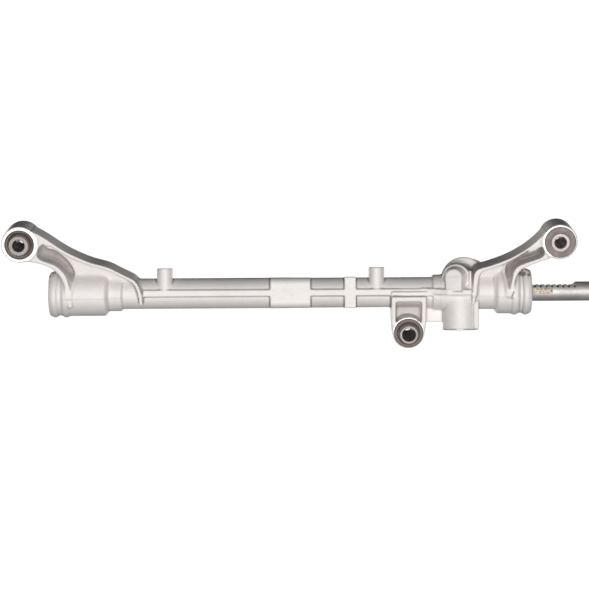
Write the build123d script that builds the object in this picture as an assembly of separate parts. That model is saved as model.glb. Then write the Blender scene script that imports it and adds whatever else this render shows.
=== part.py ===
from build123d import *
import os
import math

# Steering rack: a manual rack and pinion gear in a one-piece cast housing.
# Frame: origin at the mouth of the left collar bore, on the rack axis.
# +X runs along the rack towards the pinion end, +Y away from the front, along the
# mounting bolts, and +Z up. All sizes in millimetres.

# ------------------------------------------------------------------ driving dimensions
HOUSING_LEN = 600.0          # collar mouth to collar mouth
TUBE_R = 19.0                # cast tube left of the full section
TUBE_R2 = 18.7               # and right of it
TUBE_BORE_R = 14.5
COLLAR_R = 27.3              # barrel of each collar
RIDGE_R = 28.9               # the two ridges that a boot's clamp sits between
COLLAR_BORE_R = 21.5         # room for the inner tie-rod joint
LEFT_BORE_LEN = 64.0
RIGHT_BORE_START = 556.0

RACK_R = 12.0                # rack bar
RACK_X0, RACK_X1 = 64.5, 686.0
RACK_FLAT = 8.3              # height of the tooth tips over the rack axis
RACK_TRAVEL = 128.0          # lock to lock; the rest pose is the right-hand lock
THREAD_CORE_R = 6.35         # M14 x 1.5 tapped ends
THREAD_LEN = 26.0

MODULE = 2.2                 # normal module
TEETH = 7
PRESSURE = 20.0              # normal pressure angle, degrees
HELIX = 28.0                 # pinion helix angle, degrees
SHIFT = 0.4                  # profile shift of the pinion
LEAN = 18.7                  # pinion axis against the rack's cross direction, degrees
TILT = 15.3                  # tooth plane's normal against +Z, degrees
PX = 512.0                   # where the pinion crosses the rack
CENTRE = 15.75               # pinion axis over rack axis, along the tooth normal
PINION_TIP = 11.4
PINION_ROOT = 6.85
FACE_S0, FACE_S1 = -14.0, 16.0

EYE_Y0, EYE_Y1 = -29.0, 19.0         # front and back of the three mounting eyes
ARM_Y0, ARM_Y1 = -28.0, 11.5         # front and back of the arms
WEB_FRONT, WEB_BACK = -10.5, -4.5   # the arms' web
POCKET_FRONT, POCKET_BACK = -1.0, 4.5  # the thin floor in the deep pockets
LEFT_EYE = (-32.9, 68.2)
RIGHT_EYE = (632.3, 67.7)
LOWER_EYE = (446.4, -45.6)
LEFT_EYE_R, RIGHT_EYE_R, LOWER_EYE_R = 22.4, 21.6, 19.8

BOSS_U = 9.5                 # bracket bosses: axis in front of the tube's middle, (x, height, radius) of each
BOSSES = ((143.9, 31.3, 10.1), (407.4, 31.3, 9.9))

YOKE_R = 16.0                # bore of the rack-guide cylinder
YOKE_OUT_R = 22.0
YOKE_END = 47.5              # the cylinder's lower end, from the rack axis
PLUG_R = 17.5

BEARING_R, BEARING_BORE, BEARING_W = 23.5, 10.0, 14.0
DRUM_R = 29.0
DRUM_S0, DRUM_S1 = 14.5, 50.5
BEARING_S = 22.5              # inner end of the ball bearing, along the pinion axis

os.makedirs("parts", exist_ok=True)

# ------------------------------------------------------------------ directions
cl, sl = math.cos(math.radians(LEAN)), math.sin(math.radians(LEAN))
ct, st = math.cos(math.radians(TILT)), math.sin(math.radians(TILT))
U = Vector(1, 0, 0)                  # along the rack
T = Vector(0, ct, -st)               # across the teeth
N = Vector(0, st, ct)                # tooth normal, from the rack to the pinion
A = U * sl + T * cl                  # pinion axis, towards its input end
GAMMA = math.radians(LEAN - HELIX)   # direction of the rack's teeth in its tooth plane
cg, sg = math.cos(GAMMA), math.sin(GAMMA)
D_TOOTH = U * sg + T * cg
Q_TOOTH = U * cg - T * sg
P0 = Vector(PX, 0, 0) + N * CENTRE
BDIR = U * cl - T * sl


def pinion_plane(s):
    """Plane across the pinion axis at distance s from the crossing."""
    return Plane(origin=P0 + A * s, x_dir=BDIR, z_dir=A)


def yoke_plane(d):
    """Plane across the rack-guide bore at depth d under the rack axis."""
    return Plane(origin=Vector(PX, 0, 0) - N * d, x_dir=U, z_dir=-N)


def disc(plane, r, h, x=0.0, y=0.0):
    return extrude(plane * Pos(x, y) * Circle(r), amount=h)


def ring(plane, ro, ri, h):
    return extrude(plane * (Circle(ro) - Circle(ri)), amount=h)


def turned(plane, pts):
    """Solid of revolution about a plane's z axis. pts: (radius, height)."""
    face = make_face(Polyline([Vector(r, 0, z) for r, z in pts], close=True))
    return plane.location * revolve(face, Axis.Z, 360)


def about_x(pts):
    """Solid of revolution about the rack axis. pts: (x, radius)."""
    face = make_face(Polyline([Vector(x, r, 0) for x, r in pts], close=True))
    return revolve(face, Axis.X, 360)


def xz_poly(pts, y0, y1):
    """Prism along Y from a closed outline in X and Z."""
    face = make_face(Polyline([Vector(x, y1, z) for x, z in pts], close=True))
    return extrude(face, amount=y1 - y0, dir=(0, -1, 0))


def xz_smooth(pts, y0, y1):
    """Prism along Y from a closed smooth outline in X and Z."""
    face = make_face(Spline([Vector(x, y1, z) for x, z in pts], periodic=True))
    return extrude(face, amount=y1 - y0, dir=(0, -1, 0))


def y_cyl(c, r, y0, y1):
    return extrude(Plane(origin=(c[0], y1, c[1]), x_dir=(1, 0, 0), z_dir=(0, -1, 0)) * Circle(r), amount=y1 - y0)


def x_ring_torus(x, big, small):
    return Plane(origin=(x, 0, 0), x_dir=(0, 1, 0), z_dir=(1, 0, 0)).location * Torus(big, small)


def one(shape):
    """A single solid, or the largest of several."""
    s = shape.solids()
    return max(s, key=lambda k: k.volume)


def save(name, *shapes):
    solids = []
    for sh in shapes:
        solids += list(sh.solids())
    out = solids[0] if len(solids) == 1 else Compound(children=solids)
    out.label = name
    export_step(out, "parts/%s.step" % name)


# ------------------------------------------------------------------ cast housing, outside
body = about_x([
    (0, 0), (0, 25.4), (0.9, 26.8), (3.2, 27.8), (5.6, RIDGE_R), (8.6, RIDGE_R), (11.2, 26.7), (15.6, 26.7),
    (18.4, RIDGE_R), (22.6, RIDGE_R), (25.2, COLLAR_R), (68.6, COLLAR_R), (70.6, 26.3), (73.6, 22.0), (74.8, 21.6),
    (89.6, 21.6), (91.6, TUBE_R), (300.0, TUBE_R), (301.0, TUBE_R2),
    (476.4, TUBE_R2), (477.6, 21.7), (486.0, 21.7), (488.0, 22.6), (530.0, 22.6), (534.0, 21.7), (552.4, 21.7),
    (553.8, 22.2), (557.0, 26.4), (558.8, COLLAR_R), (574.8, COLLAR_R), (577.4, RIDGE_R), (581.6, RIDGE_R),
    (584.4, 26.7), (588.8, 26.7), (591.4, RIDGE_R), (594.4, RIDGE_R), (596.8, 27.8), (599.1, 26.8),
    (HOUSING_LEN, 25.4), (HOUSING_LEN, 0)])

# narrow flat strips on the parting line, front and back, 12 degrees off level
strip_plane = Plane(origin=(0, 0, 0), x_dir=(1, 0, 0), z_dir=(0, -math.cos(math.radians(12)), math.sin(math.radians(12))))
strip = extrude(strip_plane * Pos(305, 0) * Rectangle(374, 7.8), amount=19.8, both=True)
body += strip
# half ring before the tower, under the strip
body += about_x([(470.6, 0), (471.6, 19.6), (478.0, 19.6), (478.0, 0)]) & Box(20, 60, 30).moved(Location((475, 0, -15)))

# squarer full section in the middle, and the square band, turned with the strips
for x0, x1, wide, high, r in ((275.4, 324.9, 40.0, 37.8, 9.0), (367.2, 381.6, 40.0, 39.0, 2.0)):
    square = Plane(origin=(x0, 0, 0), x_dir=(0, -math.cos(math.radians(12)), math.sin(math.radians(12))), z_dir=(1, 0, 0))
    body += extrude(square * RectangleRounded(wide, high, r), amount=x1 - x0)

# brackets' bosses on top of the tube, square to the strips
s12, c12 = math.sin(math.radians(12)), math.cos(math.radians(12))
for bx, bv, br in BOSSES:
    body += extrude(Plane(origin=(bx, -BOSS_U * c12, BOSS_U * s12), x_dir=(1, 0, 0), z_dir=(0, s12, c12)) * Circle(br), amount=bv)

# ------------------------------------------------------------------ left arm
L_TOP = [(-16.5, 84.6), (-9.4, 81.0), (-2.1, 76.6), (5.1, 71.8), (12.3, 66.7), (19.5, 62.0), (26.8, 57.7), (34.1, 53.9),
         (41.4, 50.5), (48.7, 47.4), (56.0, 44.8), (63.3, 42.7), (70.7, 40.7), (78.0, 38.0), (85.3, 34.3), (92.6, 30.5),
         (99.9, 26.8), (107.2, 22.6), (111.8, 16.8), (115.1, 8.3), (116.6, 0.0)]
L_LOW = [(24.0, 0.0), (22.8, 6.4), (19.7, 18.5), (15.2, 28.1), (8.4, 35.5), (-0.9, 40.9), (-10.2, 44.0), (-25.5, 46.9)]
arm = make_face([
    Spline([Vector(x, ARM_Y1, z) for x, z in L_TOP]),
    Line(Vector(116.6, ARM_Y1, 0), Vector(24.0, ARM_Y1, 0)),
    Spline([Vector(x, ARM_Y1, z) for x, z in L_LOW]),
    Line(Vector(-25.5, ARM_Y1, 46.9), Vector(-32.9, ARM_Y1, 68.2)),
    Line(Vector(-32.9, ARM_Y1, 68.2), Vector(-16.5, ARM_Y1, 84.6))])
left_arm = extrude(arm, amount=ARM_Y1 - ARM_Y0, dir=(0, -1, 0))
# shallow front recess of the web, open to the barrels below
L_WEB = [(-1.0, 66.2), (4.9, 66.2), (11.9, 61.5), (19.1, 56.9), (26.6, 52.6), (34.1, 48.9), (41.5, 45.7), (49.0, 43.0),
         (56.4, 40.6), (63.8, 38.6), (70.6, 36.6), (77.0, 34.1), (84.0, 30.6), (91.1, 27.0), (98.3, 23.2), (104.4, 19.6),
         (108.0, 15.0), (110.9, 7.4), (112.2, 0.0), (112.2, -1.0), (28.6, -1.0), (28.6, 4.0), (31.2, 18.7), (33.0, 29.5),
         (27.4, 41.4), (19.4, 50.5), (9.1, 58.0), (-1.9, 60.6)]
left_arm -= xz_poly(L_WEB, ARM_Y0 - 1, WEB_FRONT)
# deep pocket between the web and the lower rib
L_POCKET = [(-11.4, 57.0), (-10.4, 61.8), (-7.1, 66.3), (-3.2, 68.3), (-1.4, 65.2), (-0.8, 61.4), (9.1, 58.4), (19.4, 50.9),
            (27.8, 41.4), (33.2, 29.5), (31.4, 18.7), (29.2, 8.0), (27.6, 12.5), (23.6, 26.7), (17.7, 35.4),
            (9.6, 42.2), (0.3, 45.7), (-7.0, 48.7), (-11.0, 52.2)]
left_arm -= xz_smooth(L_POCKET, ARM_Y0 - 1, POCKET_FRONT)
# back pockets
L_BACK1 = [(1.5, 60.4), (10.0, 57.6), (19.6, 53.0), (29.0, 47.8), (40.0, 42.9), (54.0, 38.0), (68.0, 33.8), (80.0, 28.0),
           (92.0, 22.4), (102.0, 16.0), (107.0, 8.0), (109.0, 0.0), (109.0, -1.0), (36.6, -1.0), (36.6, 26.0),
           (33.0, 37.0), (25.0, 47.0), (14.0, 54.5)]
left_arm -= xz_poly(L_BACK1, WEB_BACK, ARM_Y1 + 1)
left_arm -= xz_smooth(L_POCKET, POCKET_BACK, ARM_Y1 + 1)
body += left_arm
# the ends of the two front ribs run down over the barrels
body += xz_poly([(24.0, 0.5), (24.7, -11.7), (30.0, -11.7), (28.7, 0.5)], ARM_Y0, -12)
body += xz_poly([(116.6, 0.5), (117.1, -8.8), (113.0, -9.2), (112.2, 0.5)], ARM_Y0, -8)
body += y_cyl(LEFT_EYE, LEFT_EYE_R, EYE_Y0, EYE_Y1)

# ------------------------------------------------------------------ right arm
R_TOP = [(525.3, 0.0), (525.7, 12.9), (526.9, 26.5), (530.4, 32.6), (536.5, 35.6), (543.9, 37.5), (551.3, 40.0), (558.6, 42.5),
         (566.0, 45.4), (573.3, 48.8), (580.6, 52.8), (588.0, 57.2), (595.2, 62.3), (602.5, 68.4), (609.8, 75.4), (614.6, 79.6)]
R_LOW = [(620.0, 54.2), (618.4, 45.6), (606.2, 42.0), (590.3, 35.5), (583.7, 31.0), (579.3, 22.9), (576.7, 12.5), (574.0, 0.0)]
arm = make_face([
    Spline([Vector(x, ARM_Y1, z) for x, z in R_TOP]),
    Line(Vector(614.6, ARM_Y1, 79.6), Vector(632.3, ARM_Y1, 67.7)),
    Line(Vector(632.3, ARM_Y1, 67.7), Vector(620.0, ARM_Y1, 46.4)),
    Line(Vector(620.0, ARM_Y1, 46.4), Vector(606.2, ARM_Y1, 42.0)),
    Spline([Vector(x, ARM_Y1, z) for x, z in R_LOW[2:]]),
    Line(Vector(574.0, ARM_Y1, 0), Vector(525.3, ARM_Y1, 0))])
right_arm = extrude(arm, amount=ARM_Y1 - ARM_Y0, dir=(0, -1, 0))
R_WEB = [(530.4, -1.0), (531.6, 12.8), (533.2, 24.2), (536.4, 30.2), (541.5, 32.8), (549.8, 35.2), (557.1, 37.8), (564.3, 40.7),
         (571.2, 43.9), (578.4, 47.9), (585.6, 52.2), (592.0, 56.6), (596.0, 57.4), (588.1, 51.5), (580.7, 47.4), (573.4, 43.1),
         (568.4, 38.0), (566.4, 30.0), (567.6, 12.0), (568.6, -1.0)]
right_arm -= xz_poly(R_WEB, ARM_Y0 - 1, WEB_FRONT)
R_POCKET = [(566.2, 30.0), (568.6, 37.4), (573.8, 42.8), (580.7, 47.0), (588.1, 51.3), (595.4, 54.9), (602.7, 57.3), (606.8, 60.4),
            (610.6, 61.4), (613.4, 57.4), (613.0, 51.6), (609.4, 48.0), (602.9, 45.6), (595.6, 43.0), (588.2, 40.4),
            (581.2, 37.0), (576.2, 30.4), (573.6, 18.0), (571.6, 7.0), (569.6, 9.0), (567.0, 18.0)]
right_arm -= xz_smooth(R_POCKET, ARM_Y0 - 1, POCKET_FRONT)
R_BACK1 = [(533.0, -1.0), (534.0, 14.0), (536.0, 26.0), (541.0, 31.0), (551.0, 34.0), (561.0, 37.6), (563.0, 34.0), (561.4, 24.0),
           (562.6, 10.0), (563.6, -1.0)]
right_arm -= xz_poly(R_BACK1, WEB_BACK, ARM_Y1 + 1)
right_arm -= xz_smooth(R_POCKET, POCKET_BACK, ARM_Y1 + 1)
body += right_arm
body += xz_poly([(525.3, 0.5), (524.6, -9.5), (526.2, -12.4), (528.4, -9.0), (530.4, 0.5)], ARM_Y0, -8)
body += xz_poly([(569.6, 4.5), (571.6, -2.2), (573.8, -0.5), (574.6, 4.5)], ARM_Y0, -8)
body += y_cyl(RIGHT_EYE, RIGHT_EYE_R, EYE_Y0, EYE_Y1)

# ------------------------------------------------------------------ lower lug
lug = xz_poly([(425.2, -0.4), (468.3, -0.4), (468.3, -36.0), (465.2, -47.5), (446.8, -50.0), (427.8, -47.5), (425.2, -34.0)],
              ARM_Y0, ARM_Y1)
lug_cut = Box(32.2, 60.0, 30.0).moved(Location((446.7, 0, -21.5)))
lug_cut = fillet(lug_cut.edges().filter_by(Axis.Y), 3.0)
lug -= lug_cut & Box(100, 22.5, 100).moved(Location((446.7, -17.75, 0)))
lug -= lug_cut & Box(100, 22.5, 100).moved(Location((446.7, 10.25, 0)))
body += lug
body += y_cyl(LOWER_EYE, LOWER_EYE_R, EYE_Y0, EYE_Y1)
# thin gusset between the lug and the rack-guide cylinder, and the ledge over the lug
body += Box(29.5, 6.0, 23.7).moved(Location((478.25, -3.0, -25.45)))
body += Box(56.4, 21.0, 5.4).moved(Location((453.8, -11.0, 1.9)))

# ------------------------------------------------------------------ pinion tower and rack-guide cylinder
body += turned(pinion_plane(0), [
    (0, -33.0), (10.0, -33.0), (10.7, -32.4), (12.1, -29.0), (15.0, -22.4), (17.5, -22.0), (17.8, -21.2), (17.8, 9.5),
    (20.0, 13.2), (DRUM_R - 0.8, DRUM_S0 - 0.3), (DRUM_R, DRUM_S0 + 0.7), (DRUM_R, DRUM_S1 - 1.0), (DRUM_R - 1.0, DRUM_S1), (0, DRUM_S1)])
# the lower boss runs straight down into the front pad
boss_plane = pinion_plane(-33.0)
body += extrude(Plane(origin=P0 + A * -33.0, x_dir=(1, 0, 0), z_dir=A) * Pos(0, 9.0) * Rectangle(20.4, 18.0), amount=24.0)
body += extrude(Plane(origin=(0, 0, 1.4)) * make_face(Polyline([Vector(462.0, -18.6, 0), Vector(478.0, -22.6, 0), Vector(486.0, -25.6, 0), Vector(494.0, -29.4, 0),
                Vector(524.8, -29.4, 0), Vector(524.8, -3.8, 0), Vector(462.0, -3.8, 0)], close=True)), amount=7.2)
body += disc(yoke_plane(0), YOKE_OUT_R, YOKE_END)
# flat upright rib on the cylinder's right, and the thin web beside the boss
body += extrude(yoke_plane(13.0) * Pos(18.6, 10.25) * Rectangle(6.4, 20.5), amount=YOKE_END - 13.0)
body += Box(2.8, 25.0, 30.0).moved(Location((522.6, -12.5, 16.6)))

# ------------------------------------------------------------------ bores
body -= about_x([(-1, 0), (-1, COLLAR_BORE_R), (LEFT_BORE_LEN, COLLAR_BORE_R), (LEFT_BORE_LEN, 17.0), (65.2, 17.0),
                 (65.2, 17.9), (66.5, 17.9), (66.5, 17.0), (88.0, 17.0), (88.0, TUBE_BORE_R), (RIGHT_BORE_START, TUBE_BORE_R),
                 (RIGHT_BORE_START, COLLAR_BORE_R), (HOUSING_LEN + 1, COLLAR_BORE_R), (HOUSING_LEN + 1, 0)])
body -= y_cyl(LEFT_EYE, 20.0, EYE_Y0 - 1, EYE_Y1 + 1)
body -= y_cyl(RIGHT_EYE, 17.4, EYE_Y0 - 1, EYE_Y1 + 1)
body -= y_cyl(LOWER_EYE, 16.8, EYE_Y0 - 1, EYE_Y1 + 1)
body -= turned(pinion_plane(0), [
    (0, -29.0), (6.4, -29.0), (6.4, -28.2), (8.0, -28.2), (8.0, -17.2), (13.0, -16.2), (13.0, 21.5), (20.0, 21.5), (20.0, BEARING_S),
    (BEARING_R, BEARING_S), (BEARING_R, BEARING_S + 14.1), (24.7, BEARING_S + 14.1), (24.7, BEARING_S + 16.0), (BEARING_R, BEARING_S + 16.0),
    (BEARING_R, DRUM_S1 + 1), (0, DRUM_S1 + 1)])
body -= disc(yoke_plane(0), YOKE_R, 34.0)
body -= disc(yoke_plane(34.0), PLUG_R, YOKE_END - 34.0 + 1.0)
# tapped holes in the two bracket bosses
for bx, bv, br in BOSSES:
    body -= extrude(Plane(origin=(bx, -BOSS_U * c12 + (bv - 13.0) * s12, BOSS_U * s12 + (bv - 13.0) * c12), x_dir=(1, 0, 0),
                          z_dir=(0, s12, c12)) * Circle(3.4), amount=15.0)
housing = one(body)
save("housing", housing)

# ------------------------------------------------------------------ mounting bushes
def bush(name, c, r_out, t_out, r_in, r_bore, y0, y1, face0, face1, recess, flange):
    """Outer sleeve, bonded rubber and inner sleeve of one bush, coaxial with Y."""
    pl = Plane(origin=(c[0], 0, c[1]), x_dir=(1, 0, 0), z_dir=(0, 1, 0))
    ri = r_out - t_out
    save(name + "_outer_sleeve", ring(pl.offset(y0), r_out, ri, y1 - y0))
    # rubber: r against y, between the sleeves, hollowed or raised at its faces
    if flange:
        pts = [(r_in, face0 + 2.4), (r_in + 0.9, face0 + 2.8), (r_in + 3.0, y0 - 1.9), (flange - 1.2, y0 - 1.9), (flange, y0 - 1.0), (flange, y0), (ri, y0),
               (ri, y1), (flange, y1), (flange, y1 + 1.0), (flange - 1.2, y1 + 1.9), (r_in + 2.2, y1 + 1.4), (r_in, y1 + 1.0)]
    else:
        pts = [(r_in, face0 + 2.4), (r_in + 0.8, face0 + 2.8), (r_in + 2.8, y0 + recess * 0.8), (ri - 2.0, y0 + recess * 0.72), (ri, y0 + 0.9),
               (ri, y1 - 0.9), (ri - 2.0, y1 - recess * 0.72), (r_in + 2.6, y1 - recess), (r_in, y1 - 0.8)]
    save(name + "_rubber", turned(pl, pts))
    sleeve = turned(pl, [(r_bore, face0 + 0.7), (r_bore + 0.7, face0), (r_in - 0.6, face0), (r_in, face0 + 0.6),
                         (r_in, face1 - 0.6), (r_in - 0.6, face1), (r_bore + 0.7, face1), (r_bore, face1 - 0.7)])
    save(name + "_inner_sleeve", sleeve)


bush("left_bush", LEFT_EYE, 20.0, 1.6, 12.4, 7.2, -29.2, 19.2, -36.5, 21.5, 4.2, 0)
bush("right_bush", RIGHT_EYE, 17.4, 1.3, 11.6, 7.1, -29.0, 19.0, -33.0, 27.0, 0, 19.4)
bush("lower_bush", LOWER_EYE, 16.8, 1.3, 11.6, 8.1, -29.0, 19.0, -40.5, 21.5, 0, 18.3)

# ------------------------------------------------------------------ rack bar
rack = about_x([(RACK_X0, 0), (RACK_X0, 11.0), (RACK_X0 + 1.0, RACK_R), (RACK_X1 - 1.0, RACK_R), (RACK_X1, 11.0), (RACK_X1, 0)])
flat_face = make_face(Polyline([Vector(x, 0, 0) + N * 0 + Vector(0, 0, z) for x, z in
                                ((494.5, RACK_FLAT), (652.5, RACK_FLAT), (656.4, 12.4), (490.6, 12.4))], close=True))
flat_cut = extrude(flat_face, amount=20.0, both=True)
rack -= flat_cut.rotate(Axis.X, -TILT)
pn = math.pi * MODULE
ta = math.tan(math.radians(PRESSURE))
PITCH_N = RACK_FLAT - MODULE
GAP_LOW = 3.85
gap_pts = []
for nn in (GAP_LOW, 13.0):
    gap_pts.append((pn / 4 + 0.03 + (nn - PITCH_N) * ta, nn))
tooth_plane = Plane(origin=(PX, 0, 0), x_dir=Q_TOOTH, z_dir=-D_TOOTH)
gaps = []
for k in range(-2, 21):
    q = k * pn
    (w0, n0), (w1, n1) = gap_pts
    f = make_face(Polyline([Vector(q - w0, n0, 0), Vector(q + w0, n0, 0), Vector(q + w1, n1, 0), Vector(q - w1, n1, 0)], close=True))
    g = tooth_plane.location * extrude(f, amount=40.0, both=True)
    gaps.append(g)
# the widened gaps would meet over the tips, so each is cut off just above the tooth tips
cap = Plane(origin=(0, 0, 0), x_dir=U, z_dir=N)
keep = extrude(cap * Pos(PX + 60, 0) * Rectangle(400, 60), amount=RACK_FLAT + 0.4)
gaps = [g & keep for g in gaps]
for g in gaps:
    rack -= g
rack -= about_x([(RACK_X0 - 1, 0), (RACK_X0 - 1, THREAD_CORE_R), (RACK_X0 + THREAD_LEN, THREAD_CORE_R), (RACK_X0 + THREAD_LEN + 3.4, 0)])
rack -= about_x([(RACK_X1 + 1, 0), (RACK_X1 + 1, THREAD_CORE_R), (RACK_X1 - THREAD_LEN, THREAD_CORE_R), (RACK_X1 - THREAD_LEN - 3.4, 0)])
save("rack_bar", one(rack))

# ------------------------------------------------------------------ rack bush at the tube's far end
rack_bush = about_x([(66.8, 12.05), (66.8, 16.3), (67.4, 16.9), (70.4, 16.9), (70.4, 14.6), (73.2, 14.6), (73.2, 16.9), (81.2, 16.9),
                     (81.2, 14.6), (84.0, 14.6), (84.0, 16.9), (87.2, 16.9), (87.8, 16.3), (87.8, 12.05)])
save("rack_bush", rack_bush)
save("rack_bush_o_rings", x_ring_torus(71.8, 15.8, 1.2), x_ring_torus(82.6, 15.8, 1.2))
clip_r = Plane(origin=(65.3, 0, 0), x_dir=(0, 1, 0), z_dir=(1, 0, 0))
clip = extrude(clip_r * (Circle(17.8) - Circle(14.9) - Pos(0, -16.5) * Rectangle(7, 8)
                         + Pos(4.4, -15.0) * Circle(1.7) + Pos(-4.4, -15.0) * Circle(1.7)), amount=1.1)
save("rack_bush_circlip", one(clip))

# ------------------------------------------------------------------ pinion
beta = math.radians(HELIX)
r_p = MODULE * TEETH / (2 * math.cos(beta))
alpha_t = math.atan(ta / math.cos(beta))
r_b = r_p * math.cos(alpha_t)
pt = pn / math.cos(beta)
half_p = (pt / 4 + SHIFT * MODULE * math.tan(alpha_t) - 0.04) / r_p
inv = lambda x: math.tan(x) - x


def half_angle(r):
    """Half the tooth's angle at radius r, in the transverse section."""
    return half_p + inv(alpha_t) - (inv(math.acos(min(1.0, r_b / r))))


S_SPAN = FACE_S1 - FACE_S0
TWIST = math.tan(beta) / r_p                 # radians per millimetre along the axis
edges = []
n_f = 7
base = math.pi / 2 + TWIST * FACE_S0
ends = []
for i in range(TEETH):
    c = base + i * 2 * math.pi / TEETH
    right, left = [], []
    for j in range(n_f):
        r = r_b + (PINION_TIP - r_b) * (j / (n_f - 1)) ** 1.5 if j else r_b + 1e-4
        h = half_angle(r)
        right.append(Vector(r * math.cos(c - h), r * math.sin(c - h), 0))
        left.append(Vector(r * math.cos(c + h), r * math.sin(c + h), 0))
    hb = half_angle(r_b + 1e-4)
    foot_r = Vector(PINION_ROOT * math.cos(c - hb), PINION_ROOT * math.sin(c - hb), 0)
    foot_l = Vector(PINION_ROOT * math.cos(c + hb), PINION_ROOT * math.sin(c + hb), 0)
    edges.append(Line(foot_r, right[0]))
    edges.append(Spline(right))
    edges.append(ThreePointArc(right[-1], Vector(PINION_TIP * math.cos(c), PINION_TIP * math.sin(c), 0), left[-1]))
    edges.append(Spline(left[::-1]))
    edges.append(Line(left[0], foot_l))
    c2 = c + 2 * math.pi / TEETH
    nxt = Vector(PINION_ROOT * math.cos(c2 - hb), PINION_ROOT * math.sin(c2 - hb), 0)
    mid = c + math.pi / TEETH
    edges.append(ThreePointArc(foot_l, Vector(PINION_ROOT * math.cos(mid), PINION_ROOT * math.sin(mid), 0), nxt))
section = make_face(edges).face()
teeth = Solid.extrude_linear_with_rotation(section, (0, 0, 0), (0, 0, S_SPAN), math.degrees(TWIST * S_SPAN))
teeth = pinion_plane(FACE_S0).location * teeth
# both ends of the toothed part are chamfered
trim = turned(pinion_plane(0), [(0, FACE_S0), (9.2, FACE_S0), (PINION_TIP + 0.3, FACE_S0 + 2.3), (PINION_TIP + 0.3, FACE_S1 - 1.6),
                                (10.1, FACE_S1), (0, FACE_S1)])
teeth = teeth & trim
shaft = turned(pinion_plane(0), [
    (0, -27.9), (5.3, -27.9), (6.0, -27.2), (6.0, -16.8), (6.6, -16.2), (6.6, FACE_S0 + 0.3), (6.7, FACE_S0 + 0.6), (6.7, FACE_S1 - 0.5), (12.4, FACE_S1),
    (12.4, BEARING_S), (BEARING_BORE, BEARING_S), (BEARING_BORE, BEARING_S + 20.2), (9.0, BEARING_S + 20.6), (9.0, 57.5), (8.0, 58.5),
    (8.0, 61.5), (7.7, 61.9), (7.7, 70.5), (6.4, 71.5), (6.4, 76.5), (7.7, 77.5), (7.7, 85.1), (6.9, 86.1), (0, 86.1)])
shaft += teeth
# serrations of the input end
grooves = []
for i in range(30):
    ang = i * 12.0
    grooves.append(extrude(pinion_plane(61.9) * Rot(0, 0, ang) * Pos(7.95, 0) * Rot(0, 0, 45) * Rectangle(0.92, 0.92), amount=26.0))
for g in grooves:
    shaft -= g
save("pinion_shaft", one(shaft))

# ------------------------------------------------------------------ upper ball bearing
PITCH_R, BALL_R = 16.75, 3.95
mid_s = BEARING_S + BEARING_W / 2
track = pinion_plane(mid_s).location * Torus(PITCH_R, 4.0)
b0, b1 = BEARING_S, BEARING_S + BEARING_W
outer_race = turned(pinion_plane(0), [(20.4, b0), (22.7, b0), (BEARING_R, b0 + 0.8), (BEARING_R, b1 - 0.8), (22.7, b1), (20.4, b1)]) - track
inner_race = turned(pinion_plane(0), [(BEARING_BORE, b0 + 0.6), (BEARING_BORE + 0.6, b0), (13.2, b0), (13.2, b1), (BEARING_BORE + 0.6, b1),
                                      (BEARING_BORE, b1 - 0.6)]) - track
save("bearing_outer_race", one(outer_race))
save("bearing_inner_race", one(inner_race))
balls, pockets = [], []
for i in range(8):
    ang = math.radians(i * 45.0)
    p = P0 + A * mid_s + BDIR * (PITCH_R * math.cos(ang)) + (A.cross(BDIR)) * (PITCH_R * math.sin(ang))
    balls.append(Sphere(BALL_R).moved(Location((p.X, p.Y, p.Z))))
    out = BDIR * math.cos(ang) + A.cross(BDIR) * math.sin(ang)
    pockets.append(extrude(Plane(origin=P0 + A * mid_s + out * 14.0, x_dir=A, z_dir=out) * Circle(4.12), amount=6.0))
save("bearing_balls", *balls)
cage = turned(pinion_plane(0), [(15.4, mid_s - 5.4), (18.1, mid_s - 5.4), (18.1, mid_s + 5.4), (15.4, mid_s + 5.4)])
for p in pockets:
    cage -= p
save("bearing_cage", one(cage))
cp = pinion_plane(b1 + 0.15)
circ = extrude(cp * (Circle(24.55) - Circle(20.8) - Pos(0, -23) * Rectangle(9, 12)
                     + Pos(5.7, -20.6) * Circle(2.2) + Pos(-5.7, -20.6) * Circle(2.2)
                     - Pos(5.7, -20.4) * Circle(1.1) - Pos(-5.7, -20.4) * Circle(1.1)), amount=1.75)
save("bearing_circlip", one(circ))
nut = extrude(pinion_plane(b1) * (Circle(14.4) - Circle(BEARING_BORE + 0.0)), amount=5.6)
for i in range(6):
    nut -= extrude(pinion_plane(b1 + 3.0) * Rot(0, 0, 60 * i) * Pos(14.0, 0) * Rectangle(4.0, 4.2), amount=4.0)
save("pinion_nut", one(nut))

# ------------------------------------------------------------------ lower needle bearing
needle_shell = turned(pinion_plane(0), [(7.52, -27.5), (7.52, -17.9), (6.5, -17.9), (6.5, -17.3), (8.0, -17.3), (8.0, -28.1), (6.5, -28.1), (6.5, -27.5)])
save("needle_shell", needle_shell)
rollers = []
N_ROLL = 18
for i in range(N_ROLL):
    ang = math.radians(360.0 / N_ROLL * i)
    rollers.append(disc(pinion_plane(-26.6), 0.74, 7.8, 6.76 * math.cos(ang), 6.76 * math.sin(ang)))
save("needle_rollers", *rollers)
needle_cage = ring(pinion_plane(-27.3), 7.2, 6.3, 9.2)
for i in range(N_ROLL):
    ang = math.radians(360.0 / N_ROLL * i)
    needle_cage -= disc(pinion_plane(-26.7), 0.84, 8.0, 6.76 * math.cos(ang), 6.76 * math.sin(ang))
save("needle_cage", one(needle_cage))

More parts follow.
